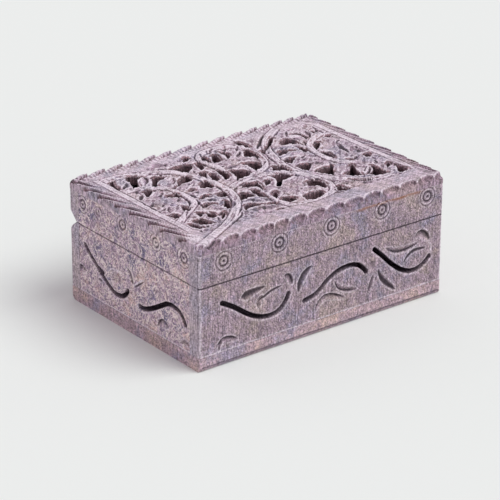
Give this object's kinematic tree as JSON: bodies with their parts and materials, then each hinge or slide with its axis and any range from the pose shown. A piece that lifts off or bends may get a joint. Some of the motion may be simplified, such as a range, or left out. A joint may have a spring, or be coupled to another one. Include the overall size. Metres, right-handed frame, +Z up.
{
  "type": "hinged keepsake box",
  "caption": "Hinged box of carved soapstone slabs, with a lid pierced in a floral lattice, waves cut through its walls and a rounded groove along the back for wire hinges.",
  "frame": {"origin": "middle of the underside, closed lid", "axes": "+X along the long front face, to the right as seen from the front; +Y from the front to the hinge; +Z up"},
  "size_m": [0.152, 0.108, 0.0655],
  "materials": {
    "pale_stone": "rubbed, matte",
    "face_stone": "sawn, matte",
    "end_stone": "sawn, matte",
    "foot_stone": "sawn, matte",
    "wire": "drawn wire"
  },
  "bodies": {
    "base": {"floor_slab": "foot_stone", "front_wall": "face_stone", "back_wall": "face_stone", "left_wall": "end_stone", "right_wall": "end_stone", "hinge_eye_left": "wire", "hinge_eye_right": "wire"},
    "lid": {"lid_panel": "pale_stone", "lid_front_rail": "face_stone", "lid_back_rail": "face_stone", "lid_left_rail": "end_stone", "lid_right_rail": "end_stone", "hinge_staple_left": "wire", "hinge_staple_right": "wire"}
  },
  "joints": [
    {"name": "lid_hinge", "type": "hinge", "parent": "base", "child": "lid", "pos_m": [0, 0.05, 0.0434], "axis": [-1, 0, 0], "range_deg": [0, 100]}
  ]
}
